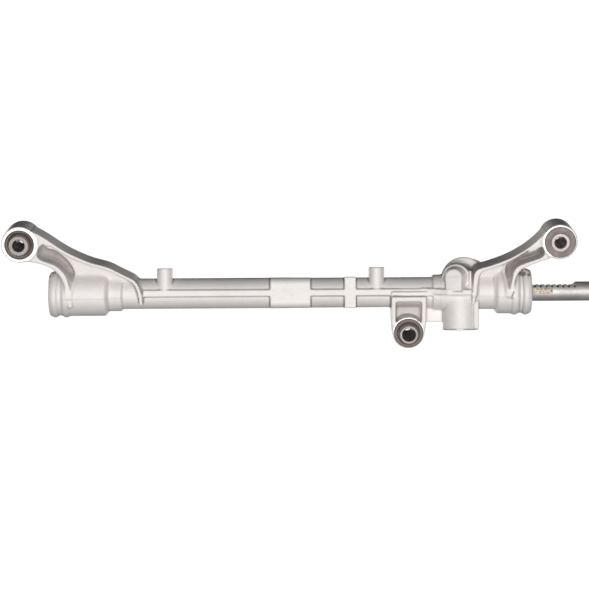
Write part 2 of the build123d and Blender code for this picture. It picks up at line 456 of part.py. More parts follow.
# ------------------------------------------------------------------ pinion seal
sp = pinion_plane(BEARING_S + 21.0)
save("seal_case", turned(sp, [(22.3, 0), (23.5, 0), (23.5, 6.0), (13.5, 6.0), (13.5, 4.8), (22.3, 4.8)]))
save("seal_lip", turned(sp, [(9.6, 6.6), (9.1, 6.2), (9.7, 5.2), (9.7, 3.6), (9.03, 2.4), (9.7, 0.6), (11.9, 0.6),
                             (11.9, 1.3), (11.0, 2.2), (11.9, 3.1), (11.9, 4.2), (13.5, 4.8), (13.5, 6.0), (13.5, 6.6)]))
save("seal_garter_spring", sp.offset(2.2).location * Torus(12.25, 0.75))

# ------------------------------------------------------------------ rack guide
guide = turned(yoke_plane(0), [(0, 3.0), (15.6, 3.0), (15.95, 3.4), (15.95, 18.6), (14.2, 18.6), (14.2, 21.2), (15.95, 21.2), (15.95, 28.0),
                               (15.3, 29.0), (9.0, 29.0), (9.0, 17.6), (0, 17.6)])
saddle = extrude(Plane(origin=(PX - 20, 0, 0), x_dir=(0, 1, 0), z_dir=(1, 0, 0)) * Circle(13.2), amount=40.0)
guide -= saddle
save("rack_guide", one(guide))
liner = extrude(Plane(origin=(PX - 11.0, 0, 0), x_dir=(0, 1, 0), z_dir=(1, 0, 0)) * (Circle(13.2) - Circle(12.04)), amount=22.0)
wedge = Plane(origin=(PX, 0, 0), x_dir=U, z_dir=-N)
liner &= extrude(wedge * Rectangle(30, 24.0), amount=20.0).moved(Location(tuple(N * -5.2)))
save("rack_guide_liner", one(liner))
save("rack_guide_o_ring", yoke_plane(19.9).location * Torus(15.1, 0.87))
turns, top, bottom = 3.5, 19.05, 36.85
coil = Helix(pitch=(bottom - top) / turns, height=bottom - top, radius=6.8)
wire_face = Plane(origin=coil @ 0, z_dir=coil % 0) * Circle(1.35)
spring = sweep(wire_face, path=coil, is_frenet=True)
save("rack_guide_spring", yoke_plane(top).location * spring)
plug = turned(yoke_plane(0), [(0, 40.4), (9.2, 40.4), (9.2, 34.6), (10.2, 34.6), (16.9, 34.6), (PLUG_R, 35.2), (PLUG_R, 45.8), (16.7, 46.6), (0, 46.6)])
plug -= extrude(yoke_plane(42.0) * RegularPolygon(8.2, 6, major_radius=False), amount=6.0)
save("adjuster_plug", one(plug))
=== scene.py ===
import bpy
import math
import numpy as np
from mathutils import Vector, Matrix, Quaternion


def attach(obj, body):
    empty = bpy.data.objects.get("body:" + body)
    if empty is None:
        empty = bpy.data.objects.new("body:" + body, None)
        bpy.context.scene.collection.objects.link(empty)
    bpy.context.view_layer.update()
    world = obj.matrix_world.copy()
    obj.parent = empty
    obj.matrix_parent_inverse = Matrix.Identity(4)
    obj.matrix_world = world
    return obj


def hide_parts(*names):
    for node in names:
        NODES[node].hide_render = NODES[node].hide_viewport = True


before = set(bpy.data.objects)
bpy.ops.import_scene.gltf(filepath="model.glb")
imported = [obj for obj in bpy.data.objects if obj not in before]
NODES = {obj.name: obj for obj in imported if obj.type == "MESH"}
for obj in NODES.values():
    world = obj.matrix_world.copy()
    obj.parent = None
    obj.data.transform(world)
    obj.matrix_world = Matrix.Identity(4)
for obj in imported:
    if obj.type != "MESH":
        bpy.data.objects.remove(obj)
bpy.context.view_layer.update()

# ====================================================================== the gear's layout, in millimetres
LEAN, TILT = math.radians(18.7), math.radians(15.3)
PX, CENTRE = 512.0, 15.75
U = np.array([1.0, 0.0, 0.0])
T = np.array([0.0, math.cos(TILT), -math.sin(TILT)])
N = np.array([0.0, math.sin(TILT), math.cos(TILT)])
A = U * math.sin(LEAN) + T * math.cos(LEAN)
B = U * math.cos(LEAN) - T * math.sin(LEAN)
P0 = np.array([PX, 0.0, 0.0]) + N * CENTRE
LEFT_EYE, RIGHT_EYE, LOWER_EYE = (-32.9, 68.2), (632.3, 67.7), (446.4, -45.6)
LEFT_R, RIGHT_R, LOWER_R = 22.4, 21.6, 19.8
EYE_Y0, EYE_Y1 = -29.0, 19.0
ARM_Y0, ARM_Y1 = -28.0, 11.5
WEB_FRONT, WEB_BACK = -10.5, -4.5
POCKET_FRONT, POCKET_BACK = -1.0, 4.5

# ====================================================================== distance-field modelling of the casting
H = 0.8
LO = np.array([-58.0, -34.0, -69.0])
HI = np.array([656.0, 62.0, 96.0])
n = np.ceil((HI - LO) / H).astype(int) + 1
GX = (LO[0] + H * np.arange(n[0])).astype(np.float32)
GY = (LO[1] + H * np.arange(n[1])).astype(np.float32)
GZ = (LO[2] + H * np.arange(n[2])).astype(np.float32)
FAR = 30.0
D = np.full(tuple(n), FAR, np.float32)


def smin(a, b, k):
    """Union of two fields with a blend about k wide."""
    h = np.maximum(k - np.abs(a - b), 0.0) / k
    return np.minimum(a, b) - h * h * (k * 0.25)


def smax(a, b, k):
    h = np.maximum(k - np.abs(a - b), 0.0) / k
    return np.maximum(a, b) + h * h * (k * 0.25)


def window(x0, x1, y0, y1, z0, z1):
    """Slices and open coordinate arrays of the grid inside a box."""
    i = [int(max(0, math.floor((v - LO[a]) / H))) for a, v in ((0, x0), (1, y0), (2, z0))]
    j = [int(min(n[a], math.ceil((v - LO[a]) / H) + 1)) for a, v in ((0, x1), (1, y1), (2, z1))]
    s = (slice(i[0], j[0]), slice(i[1], j[1]), slice(i[2], j[2]))
    return s, GX[s[0]][:, None, None], GY[s[1]][None, :, None], GZ[s[2]][None, None, :]


def add(box, f, k):
    s, x, y, z = window(*box)
    D[s] = smin(D[s], f(x, y, z).astype(np.float32), k)


def cut(box, f, k):
    s, x, y, z = window(*box)
    D[s] = smax(D[s], -f(x, y, z).astype(np.float32), k)


def poly_field(px, pz, pts):
    """Signed distance to a closed polygon, negative inside."""
    d2 = np.full(np.broadcast(px, pz).shape, 1e12, np.float64)
    inside = np.zeros(d2.shape, bool)
    m = len(pts)
    for i in range(m):
        ax, az = pts[i]
        bx, bz = pts[(i + 1) % m]
        ex, ez = bx - ax, bz - az
        wx, wz = px - ax, pz - az
        t = np.clip((wx * ex + wz * ez) / (ex * ex + ez * ez + 1e-12), 0, 1)
        d2 = np.minimum(d2, (wx - ex * t) ** 2 + (wz - ez * t) ** 2)
        cross = ((az > pz) != (bz > pz)) & (px < (bx - ax) * (pz - az) / (bz - az + 1e-12 * (bz == az)) + ax)
        inside ^= cross
    return (np.sqrt(d2) * np.where(inside, -1, 1)).astype(np.float32)


def curve(pts, closed=False, sub=6):
    """A smooth line of points through pts."""
    p = np.array(pts, float)
    m = len(p)
    out = []
    for i in range(m if closed else m - 1):
        a, b = p[(i - 1) % m] if closed or i else p[0] * 2 - p[1], p[i]
        c = p[(i + 1) % m]
        d = p[(i + 2) % m] if closed or i + 2 < m else p[-1] * 2 - p[-2]
        for j in range(sub):
            t = j / sub
            out.append(tuple(0.5 * ((2 * b) + (c - a) * t + (2 * a - 5 * b + 4 * c - d) * t * t + (3 * b - a - 3 * c + d) * t ** 3)))
    if not closed:
        out.append(tuple(p[-1]))
    return out


def blur1(a, axis, taps):
    r = len(taps) // 2
    out = a * taps[r]
    for i in range(1, r + 1):
        f = np.concatenate([np.take(a, [0] * i, axis), np.take(a, range(a.shape[axis] - i), axis)], axis)
        g = np.concatenate([np.take(a, range(i, a.shape[axis]), axis), np.take(a, [-1] * i, axis)], axis)
        out += (f + g) * taps[r + i]
    return out


def gauss(sigma):
    r = max(1, int(math.ceil(sigma * 2.6)))
    t = np.exp(-0.5 * (np.arange(-r, r + 1) / sigma) ** 2)
    return (t / t.sum()).astype(np.float32)


def turned_field(pts, round_mm):
    """Field of a solid of revolution about the rack axis from (x, radius) points, as a function of x, y, z on the grid."""
    step = 0.2
    rs = np.arange(0, 44.0, step)
    tab = poly_field(GX[:, None].astype(float), rs[None, :], list(pts) + [(x, -r) for x, r in reversed(pts)])
    tab = blur1(tab, 1, gauss(round_mm / step))
    tab = blur1(tab, 0, gauss(max(round_mm / H, 0.35)))

    def f(x, y, z):
        i = np.searchsorted(GX, x.ravel()[0] - 1e-3)
        m = x.size
        r = np.sqrt(y * y + z * z)[0]
        q = np.clip(r / step, 0, len(rs) - 1.001)
        j = q.astype(int)
        w = (q - j).astype(np.float32)
        rows = tab[i:i + m]
        return rows[:, j] * (1 - w) + rows[:, j + 1] * w
    return f


def plate_mask(pts):
    """2D field in X and Z for the columns of the grid."""
    return lambda x, z: poly_field(x[:, 0, :].astype(float), z[:, 0, :].astype(float), pts)[:, None, :]


def cyl_y(c, r, y0, y1):
    return lambda x, y, z: smax(np.sqrt((x - c[0]) ** 2 + (z - c[1]) ** 2) - r, np.abs(y - (y0 + y1) / 2) - (y1 - y0) / 2, 1.6)


def hole_y(c, r):
    return lambda x, y, z: np.sqrt((x - c[0]) ** 2 + (z - c[1]) ** 2) - r + y * 0


def slab(c, half, r=1.0):
    def f(x, y, z):
        qx, qy, qz = np.abs(x - c[0]) - half[0] + r, np.abs(y - c[1]) - half[1] + r, np.abs(z - c[2]) - half[2] + r
        return np.sqrt(np.maximum(qx, 0) ** 2 + np.maximum(qy, 0) ** 2 + np.maximum(qz, 0) ** 2) + np.minimum(np.maximum(np.maximum(qx, qy), qz), 0) - r
    return f


def axial(origin, axis, pts):
    """Solid of revolution about any axis from (radius, distance along it) points."""
    o, a = np.asarray(origin), np.asarray(axis)
    loop = list(pts) + [(-r, s) for r, s in reversed(pts)]

    def f(x, y, z):
        px, py, pz = x - o[0], y - o[1], z - o[2]
        s = px * a[0] + py * a[1] + pz * a[2]
        q = np.sqrt(np.maximum(px * px + py * py + pz * pz - s * s, 0))
        return poly_field(q.astype(np.float64), s.astype(np.float64), loop)
    return f


# ---------------------------------------------------------------------- tube and collars
RR = 28.9
body_pts = [
    (0, 0), (0, 25.2), (0.9, 26.8), (3.2, 27.9), (5.6, RR), (8.6, RR), (11.0, 26.7), (15.6, 26.7),
    (18.2, RR), (22.6, RR), (25.0, 27.3), (68.6, 27.3), (70.6, 26.3), (73.6, 22.0), (74.8, 21.6),
    (89.6, 21.6), (91.4, 19.0), (300.0, 19.0), (301.0, 18.7),
    (476.6, 18.7), (477.6, 21.7), (486.0, 21.7), (488.0, 22.6), (530.0, 22.6), (534.0, 21.7), (552.4, 21.7),
    (553.8, 22.2), (557.0, 26.4), (558.8, 27.3), (574.8, 27.3), (577.4, RR), (581.6, RR),
    (584.2, 26.7), (588.8, 26.7), (591.2, RR), (594.4, RR), (596.8, 27.9), (599.1, 26.8), (600.0, 25.2), (600.0, 0)]
add((-4, 604, -31, 31, -31, 31), turned_field(body_pts, 0.45), 0.5)

# the strips, the full section, the band and the bosses are turned 12 degrees off level: u forwards, v up
c12, s12 = math.cos(math.radians(12)), math.sin(math.radians(12))
to_u = lambda y, z: y * -c12 + z * s12
to_v = lambda y, z: y * s12 + z * c12
BOSS_U = 9.5
BOSSES = ((143.9, 31.3, 10.1), (407.4, 31.3, 9.9))


def boss(bx, bv, br):
    def f(x, y, z):
        u, v = to_u(y, z), to_v(y, z)
        return smax(smax(np.sqrt((x - bx) ** 2 + (u - BOSS_U) ** 2) - br, v - bv, 1.2), -v, 1.0)
    return f


for bx, bv, br in BOSSES:
    add((bx - 18, bx + 18, -24, 14, -4, 36), boss(bx, bv, br), 2.0)


def squared(x0, x1, hu, v0, v1, r, end):
    """Length of the tube with a rounded square section."""
    vc, hv = (v0 + v1) / 2, (v1 - v0) / 2
    xc, hx = (x0 + x1) / 2, (x1 - x0) / 2

    def f(x, y, z):
        qu, qv = np.abs(to_u(y, z)) - hu + r, np.abs(to_v(y, z) - vc) - hv + r
        d = np.sqrt(np.maximum(qu, 0) ** 2 + np.maximum(qv, 0) ** 2) + np.minimum(np.maximum(qu, qv), 0) - r
        return smax(d, np.abs(x - xc) - hx, end)
    return f


add((270, 330, -26, 26, -25, 25), squared(275.0, 325.2, 20.1, -18.9, 18.9, 8.5, 1.2), 1.0)
add((362, 387, -26, 26, -26, 26), squared(367.2, 381.6, 19.9, -19.5, 19.5, 1.3, 1.0), 0.6)


def strip(x, y, z):
    v, u = to_v(y, z), to_u(y, z)
    return smax(smax(np.abs(v) - 3.9, np.abs(u) - 20.1, 0.5), np.abs(x - 305.0) - 187.0, 1.0)


add((114, 496, -23, 23, -12, 12), strip, 0.3)
add((468, 482, -24, 24, -24, 0), lambda x, y, z: smax(smax(np.sqrt(y * y + z * z) - 19.6, np.abs(x - 476.0) - 4.6, 0.8), z + 3.0, 1.0), 0.5)

# ---------------------------------------------------------------------- left arm
L_TOP = [(-16.5, 84.6), (-9.4, 81.0), (-2.1, 76.6), (5.1, 71.8), (12.3, 66.7), (19.5, 62.0), (26.8, 57.7), (34.1, 53.9),
         (41.4, 50.5), (48.7, 47.4), (56.0, 44.8), (63.3, 42.7), (70.7, 40.7), (78.0, 38.0), (85.3, 34.3), (92.6, 30.5),
         (99.9, 26.8), (107.2, 22.6), (111.8, 16.8), (115.1, 8.3), (116.6, 0.0)]
L_LOW = [(24.0, 0.0), (22.8, 6.4), (19.7, 18.5), (15.2, 28.1), (8.4, 35.5), (-0.9, 40.9), (-10.2, 44.0), (-25.5, 46.9)]
L_WEB = [(-1.0, 66.2), (4.9, 66.2), (11.9, 61.5), (19.1, 56.9), (26.6, 52.6), (34.1, 48.9), (41.5, 45.7), (49.0, 43.0),
         (56.4, 40.6), (63.8, 38.6), (70.6, 36.6), (77.0, 34.1), (84.0, 30.6), (91.1, 27.0), (98.3, 23.2), (104.4, 19.6),
         (108.0, 15.0), (110.9, 7.4), (112.2, 0.0), (112.2, -6.0), (28.6, -6.0), (28.6, 4.0), (31.2, 18.7), (33.0, 29.5),
         (27.4, 41.4), (19.4, 50.5), (9.1, 58.0), (-1.9, 60.6)]
L_POCKET = [(-11.4, 57.0), (-10.4, 61.8), (-7.1, 66.3), (-3.2, 68.3), (-1.4, 65.2), (-0.8, 61.4), (9.1, 58.4), (19.4, 50.9),
            (27.8, 41.4), (33.2, 29.5), (31.4, 18.7), (29.2, 8.0), (27.6, 12.5), (23.6, 26.7), (17.7, 35.4),
            (9.6, 42.2), (0.3, 45.7), (-7.0, 48.7), (-11.0, 52.2)]
L_BACK = [(1.5, 60.4), (10.0, 57.6), (19.6, 53.0), (29.0, 47.8), (40.0, 42.9), (54.0, 38.0), (68.0, 33.8), (80.0, 28.0),
          (92.0, 22.4), (102.0, 16.0), (107.0, 8.0), (109.0, 0.0), (109.0, -6.0), (36.6, -6.0), (36.6, 26.0),
          (33.0, 37.0), (25.0, 47.0), (14.0, 54.5)]


def arm_field(outer, web, pocket, back, x, y, z):
    """Plate with a front recess, deep pockets from both sides and drafted walls."""
    o = plate_mask(outer)(x, z)
    w = plate_mask(web)(x, z)
    p = plate_mask(curve(pocket, True, 4))(x, z)
    q = plate_mask(back)(x, z)
    ym = (ARM_Y0 + ARM_Y1) / 2
    a = smax(o + 0.012 * np.abs(y - ym), np.abs(y - ym) - (ARM_Y1 - ARM_Y0) / 2, 1.4)
    c = smax(w + 0.05 * (y - ARM_Y0), y - WEB_FRONT, 4.0)
    a = smax(a, -c, 1.3)
    c = smax(p + 0.03 * (y - ARM_Y0), y - POCKET_FRONT, 6.0)
    a = smax(a, -c, 1.5)
    c = smax(q + 0.05 * (ARM_Y1 - y), WEB_BACK - y, 4.0)
    a = smax(a, -c, 1.3)
    c = smax(p + 0.03 * (ARM_Y1 - y), POCKET_BACK - y, 5.0)
    a = smax(a, -c, 1.5)
    return a


left_outer = curve(L_TOP) + curve(L_LOW) + [LEFT_EYE]
add((-38, 122, -32, 16, -2, 92), lambda x, y, z: arm_field(left_outer, L_WEB, L_POCKET, L_BACK, x, y, z), 4.0)


def rib_end(pts, y1):
    m = plate_mask(pts)
    yc, hy = (ARM_Y0 + y1) / 2, (y1 - ARM_Y0) / 2
    return lambda x, y, z: smax(m(x, z), np.abs(y - yc) - hy, 1.2)


add((20, 34, -31, -8, -16, 6), rib_end([(24.0, 3.5), (24.7, -11.7), (30.0, -11.7), (28.5, 3.5)], -12), 1.4)
add((108, 121, -31, -4, -13, 6), rib_end([(116.5, 3.5), (117.1, -8.8), (113.0, -9.2), (112.1, 3.5)], -8), 1.4)
add((-58, -6, -33, 23, 42, 96), cyl_y(LEFT_EYE, LEFT_R, EYE_Y0, EYE_Y1), 3.0)

# ---------------------------------------------------------------------- right arm
R_TOP = [(525.3, 0.0), (525.7, 12.9), (526.9, 26.5), (530.4, 32.6), (536.5, 35.6), (543.9, 37.5), (551.3, 40.0), (558.6, 42.5),
         (566.0, 45.4), (573.3, 48.8), (580.6, 52.8), (588.0, 57.2), (595.2, 62.3), (602.5, 68.4), (609.8, 75.4), (614.6, 79.6)]
R_LOW = [(606.2, 42.0), (590.3, 35.5), (583.7, 31.0), (579.3, 22.9), (576.7, 12.5), (574.0, 0.0)]
R_WEB = [(530.4, -6.0), (531.6, 12.8), (533.2, 24.2), (536.4, 30.2), (541.5, 32.8), (549.8, 35.2), (557.1, 37.8), (564.3, 40.7),
         (571.2, 43.9), (578.4, 47.9), (585.6, 52.2), (592.0, 56.6), (596.0, 57.4), (588.1, 51.5), (580.7, 47.4), (573.4, 43.1),
         (568.4, 38.0), (566.4, 30.0), (567.6, 12.0), (568.6, -6.0)]
R_POCKET = [(566.2, 30.0), (568.6, 37.4), (573.8, 42.8), (580.7, 47.0), (588.1, 51.3), (595.4, 54.9), (602.7, 57.3), (606.8, 60.4),
            (610.6, 61.4), (613.4, 57.4), (613.0, 51.6), (609.4, 48.0), (602.9, 45.6), (595.6, 43.0), (588.2, 40.4),
            (581.2, 37.0), (576.2, 30.4), (573.6, 18.0), (571.6, 7.0), (569.6, 9.0), (567.0, 18.0)]
R_BACK = [(533.0, -6.0), (534.0, 14.0), (536.0, 26.0), (541.0, 31.0), (551.0, 34.0), (561.0, 37.6), (563.0, 34.0), (561.4, 24.0),
          (562.6, 10.0), (563.6, -6.0)]
right_outer = curve(R_TOP) + [RIGHT_EYE, (620.0, 46.4)] + curve(R_LOW)
add((520, 637, -32, 16, -2, 86), lambda x, y, z: arm_field(right_outer, R_WEB, R_POCKET, R_BACK, x, y, z), 4.0)
add((520, 535, -31, -4, -16, 6), rib_end([(525.4, 3.5), (524.6, -9.5), (526.2, -12.4), (528.4, -9.0), (530.5, 3.5)], -8), 1.4)
add((565, 580, -31, -4, -7, 8), rib_end([(569.8, 5.5), (571.6, -2.2), (573.8, -0.5), (575.0, 5.5)], -8), 1.4)
add((607, 656, -33, 23, 42, 94), cyl_y(RIGHT_EYE, RIGHT_R, EYE_Y0, EYE_Y1), 3.0)

# ---------------------------------------------------------------------- lower lug
LUG = [(425.2, -0.4), (468.3, -0.4), (468.3, -34.0), (467.6, -40.5), (464.8, -48.0), (446.8, -50.0), (428.2, -48.0), (425.9, -38.5), (425.2, -32.0)]


def lug(x, y, z):
    a = smax(plate_mask(LUG)(x, z), np.abs(y + 8.25) - 19.75, 1.4)
    b = slab((446.7, 0, -22.5), (16.1, 60, 16.0), 3.0)(x, y * 0, z)
    c = smax(b + 0.03 * (y + 28.0), y + 7.0, 4.0)
    a = smax(a, -c, 1.3)
    c = smax(b + 0.03 * (11.5 - y), -1.0 - y, 4.0)
    return smax(a, -c, 1.3)


add((419, 473, -31, 16, -55, 4), lug, 2.0)
add((424, 470, -33, 23, -69, -22), cyl_y(LOWER_EYE, LOWER_R, EYE_Y0, EYE_Y1), 1.6)
add((462, 498, -11, 5, -41, -9), slab((478.5, -3.0, -25.45), (14.5, 3.0, 11.85), 0.7), 1.0)
add((424, 484, -25, 4, -3, 7), slab((453.8, -11.0, 1.9), (28.2, 10.5, 2.7), 0.8), 0.6)

# ---------------------------------------------------------------------- pinion tower and rack-guide cylinder
tower = [(0, -33.0), (9.9, -33.0), (10.6, -32.4), (12.0, -29.0), (14.9, -22.4), (17.4, -22.1), (17.7, -21.2), (17.7, 9.5),
         (20.0, 13.2), (28.2, 14.1), (29.0, 15.2), (29.0, 49.5), (28.0, 50.5), (0, 50.5)]
add((478, 562, -34, 62, -36, 46), axial(P0, A, tower), 1.0)
q0 = P0 + A * -33.0


def boss_skirt(x, y, z):
    """The lower boss runs straight down into the front pad."""
    px, py, pz = x - q0[0], y - q0[1], z - q0[2]
    s = px * A[0] + py * A[1] + pz * A[2]
    dn = np.cross(A, U)
    dn = dn / np.linalg.norm(dn)
    e = np.cross(dn, A)
    v = px * dn[0] + py * dn[1] + pz * dn[2]
    u = px * e[0] + py * e[1] + pz * e[2]
    w = 10.0 + 0.26 * s
    return smax(smax(np.abs(u) - w, np.abs(v - 8.5) - 8.6, 1.0), np.abs(s - 12.0) - 12.0, 1.0)


add((482, 532, -34, 4, -4, 32), boss_skirt, 1.5)
PAD = [(462.0, -18.6), (470.0, -20.3), (478.0, -22.6), (486.0, -25.4), (494.5, -29.2), (524.6, -29.2), (524.6, -3.8), (462.0, -3.8)]


def pad(x, y, z):
    d = poly_field(x[:, :, 0].astype(float) + 0 * y[:, :, 0], y[:, :, 0].astype(float) + 0 * x[:, :, 0], PAD)[:, :, None]
    return smax(d, np.abs(z - 5.0) - 3.6, 1.4)


add((458, 530, -33, 0, -2, 12), pad, 0.6)
add((484, 540, -40, 30, -56, 30), axial((PX, 0, 0), -N, [(0, -6.0), (22.0, -6.0), (22.0, 47.5), (0, 47.5)]), 1.2)


def upright(x, y, z):
    w = -(y * N[1] + z * N[2])
    t = -(y * T[1] + z * T[2])
    qx, qt, qw = np.abs(x - 530.5) - 2.2, np.abs(t - 10.3) - 9.3, np.abs(w - 30.25) - 16.25
    return np.sqrt(np.maximum(qx, 0) ** 2 + np.maximum(qt, 0) ** 2 + np.maximum(qw, 0) ** 2) + np.minimum(np.maximum(np.maximum(qx, qt), qw), 0) - 1.0


add((522, 540, -40, 4, -54, -2), upright, 0.9)
add((518, 527, -28, 4, -2, 35), slab((522.6, -12.5, 16.6), (1.4, 12.5, 15.0), 0.6), 1.2)

# one even softening of every cast edge
D = blur1(blur1(blur1(D, 0, gauss(0.52 / H)), 1, gauss(0.52 / H)), 2, gauss(0.52 / H))

# ---------------------------------------------------------------------- machined bores, cut after the casting's edges were softened
bore_pts = [(-3, 0), (-3, 24.6), (0.0, 22.3), (0.8, 21.5), (64.0, 21.5), (64.0, 17.0), (65.2, 17.0),
            (65.2, 17.9), (66.5, 17.9), (66.5, 17.0), (88.0, 17.0), (88.0, 14.5), (556.0, 14.5),
            (556.0, 21.5), (599.2, 21.5), (600.0, 22.3), (603, 24.6), (603, 0)]
cut((-4, 604, -26, 26, -26, 26), turned_field(bore_pts, 0.15), 0.3)
for c, r in ((LEFT_EYE, 20.0), (RIGHT_EYE, 17.4), (LOWER_EYE, 16.8)):
    cut((c[0] - r - 3, c[0] + r + 3, -34, 24, c[1] - r - 3, c[1] + r + 3), hole_y(c, r), 0.4)
cut((478, 562, -32, 62, -36, 46), axial(P0, A, [
    (0, -29.0), (6.4, -29.0), (6.4, -28.2), (8.0, -28.2), (8.0, -17.2), (13.0, -16.2), (13.0, 21.5), (20.0, 21.5), (20.0, 22.5),
    (23.5, 22.5), (23.5, 36.6), (24.7, 36.6), (24.7, 38.5), (23.5, 38.5), (23.5, 49.9), (24.6, 51.0), (24.6, 54.0), (0, 54.0)]), 0.3)
cut((490, 534, -34, 30, -56, 20), axial((PX, 0, 0), -N, [(0, 0), (16.0, 0), (16.0, 34.0), (17.5, 34.0), (17.5, 46.9), (18.6, 48.0), (18.6, 52.0), (0, 52.0)]), 0.3)
for bx, bv, br in BOSSES:
    cut((bx - 7, bx + 7, -12, 6, 14, 36), lambda x, y, z: smax(np.sqrt((x - bx) ** 2 + (to_u(y, z) - BOSS_U) ** 2) - 3.4 - np.maximum(to_v(y, z) - bv + 0.6, 0), bv - 13.0 - to_v(y, z), 0.5), 0.3)


def surface(D):
    """Quads of the zero surface, one vertex in each cell that it crosses."""
    s = D < 0
    c = [s[:-1, :-1, :-1], s[1:, :-1, :-1], s[:-1, 1:, :-1], s[1:, 1:, :-1], s[:-1, :-1, 1:], s[1:, :-1, 1:], s[:-1, 1:, 1:], s[1:, 1:, 1:]]
    tot = np.zeros(c[0].shape, np.uint8)
    for k in c:
        tot += k
    act = (tot > 0) & (tot < 8)
    idx = np.argwhere(act)
    num = np.full(act.shape, -1, np.int32)
    num[act] = np.arange(len(idx), dtype=np.int32)
    off = np.array([[0, 0, 0], [1, 0, 0], [0, 1, 0], [1, 1, 0], [0, 0, 1], [1, 0, 1], [0, 1, 1], [1, 1, 1]])
    v = np.stack([D[idx[:, 0] + o[0], idx[:, 1] + o[1], idx[:, 2] + o[2]] for o in off], 1).astype(np.float64)
    acc = np.zeros((len(idx), 3))
    cnt = np.zeros(len(idx))
    for a, b in ((0, 1), (2, 3), (4, 5), (6, 7), (0, 2), (1, 3), (4, 6), (5, 7), (0, 4), (1, 5), (2, 6), (3, 7)):
        va, vb = v[:, a], v[:, b]
        m = (va < 0) != (vb < 0)
        t = np.where(m, va / np.where(va == vb, 1, va - vb), 0)
        p = off[a] + (off[b] - off[a]) * t[:, None]
        acc += np.where(m[:, None], p, 0)
        cnt += m
    pos = (idx + acc / cnt[:, None]) * H + LO
    quads = []
    for ax in range(3):
        b1, b2 = [(1, 2), (2, 0), (0, 1)][ax]
        sl0 = [slice(None)] * 3
        sl1 = [slice(None)] * 3
        sl0[ax] = slice(0, -1)
        sl1[ax] = slice(1, None)
        e = s[tuple(sl0)] != s[tuple(sl1)]
        e2 = e.copy()
        for b in (b1, b2):
            z = [slice(None)] * 3
            z[b] = 0
            e2[tuple(z)] = False
            z[b] = -1
            e2[tuple(z)] = False
        w = np.argwhere(e2)
        o1, o2 = np.zeros(3, int), np.zeros(3, int)
        o1[b1], o2[b2] = 1, 1
        get = lambda q: num[q[:, 0], q[:, 1], q[:, 2]]
        f = np.stack([get(w), get(w - o1), get(w - o1 - o2), get(w - o2)], 1)
        flip = s[w[:, 0], w[:, 1], w[:, 2]]
        f[~flip] = f[~flip][:, ::-1]
        quads.append(f)
    return pos, np.concatenate(quads)


def sample(D, p):
    """Field value and gradient at points, from the grid."""
    q = (p - LO) / H
    i = np.clip(np.floor(q).astype(int), 0, np.array(D.shape) - 2)
    t = q - i
    g = lambda a, b, c: D[i[:, 0] + a, i[:, 1] + b, i[:, 2] + c].astype(np.float64)
    c000, c100, c010, c110, c001, c101, c011, c111 = g(0, 0, 0), g(1, 0, 0), g(0, 1, 0), g(1, 1, 0), g(0, 0, 1), g(1, 0, 1), g(0, 1, 1), g(1, 1, 1)
    x, y, z = t.T
    v = ((c000 * (1 - x) + c100 * x) * (1 - y) + (c010 * (1 - x) + c110 * x) * y) * (1 - z) + ((c001 * (1 - x) + c101 * x) * (1 - y) + (c011 * (1 - x) + c111 * x) * y) * z
    gx = ((c100 - c000) * (1 - y) + (c110 - c010) * y) * (1 - z) + ((c101 - c001) * (1 - y) + (c111 - c011) * y) * z
    gy = ((c010 - c000) * (1 - x) + (c110 - c100) * x) * (1 - z) + ((c011 - c001) * (1 - x) + (c111 - c101) * x) * z
    gz = ((c001 - c000) * (1 - x) + (c101 - c100) * x) * (1 - y) + ((c011 - c010) * (1 - x) + (c111 - c110) * x) * y
    return v, np.stack([gx, gy, gz], 1) / H


V, F = surface(D)
for _ in range(2):
    val, grad = sample(D, V)
    g2 = (grad ** 2).sum(1)
    step = np.clip(val / np.maximum(g2, 0.05), -0.5 * H, 0.5 * H)
    V = V - grad * step[:, None]
val, grad = sample(D, V)
NRM = grad / np.maximum(np.linalg.norm(grad, axis=1), 1e-9)[:, None]


def make_mesh(name, verts_m, faces):
    me = bpy.data.meshes.new(name)
    me.vertices.add(len(verts_m))
    me.vertices.foreach_set("co", np.asarray(verts_m, np.float32).ravel())
    m, k = faces.shape
    me.loops.add(m * k)
    me.loops.foreach_set("vertex_index", faces.astype(np.int32).ravel())
    me.polygons.add(m)
    me.polygons.foreach_set("loop_start", np.arange(0, m * k, k, dtype=np.int32))
    me.polygons.foreach_set("loop_total", np.full(m, k, np.int32))
    me.update(calc_edges=True)
    me.polygons.foreach_set("use_smooth", np.ones(m, bool))
    ob = bpy.data.objects.new(name, me)
    bpy.context.scene.collection.objects.link(ob)
    return ob


housing = make_mesh("cast_housing", V / 1000.0, F)
print("housing mesh", len(V), len(F))

# ====================================================================== materials


def nodes_of(name):
    m = bpy.data.materials.new(name)
    m.use_nodes = True
    nt = m.node_tree
    for k in list(nt.nodes):
        nt.nodes.remove(k)
    out = nt.nodes.new("ShaderNodeOutputMaterial")
    b = nt.nodes.new("ShaderNodeBsdfPrincipled")
    nt.links.new(b.outputs["BSDF"], out.inputs["Surface"])
    tc = nt.nodes.new("ShaderNodeTexCoord")
    return m, nt, b, tc


def noise(nt, tc, scale, detail=2.0, rough=0.5, stretch=None, dim="3D"):
    t = nt.nodes.new("ShaderNodeTexNoise")
    t.noise_dimensions = dim
    t.inputs["Scale"].default_value = scale
    t.inputs["Detail"].default_value = detail
    t.inputs["Roughness"].default_value = rough
    src = tc.outputs["Object"]
    if stretch:
        mp = nt.nodes.new("ShaderNodeMapping")
        mp.inputs["Scale"].default_value = stretch
        nt.links.new(src, mp.inputs["Vector"])
        src = mp.outputs["Vector"]
    nt.links.new(src, t.inputs["Vector"])
    return t.outputs["Fac"]


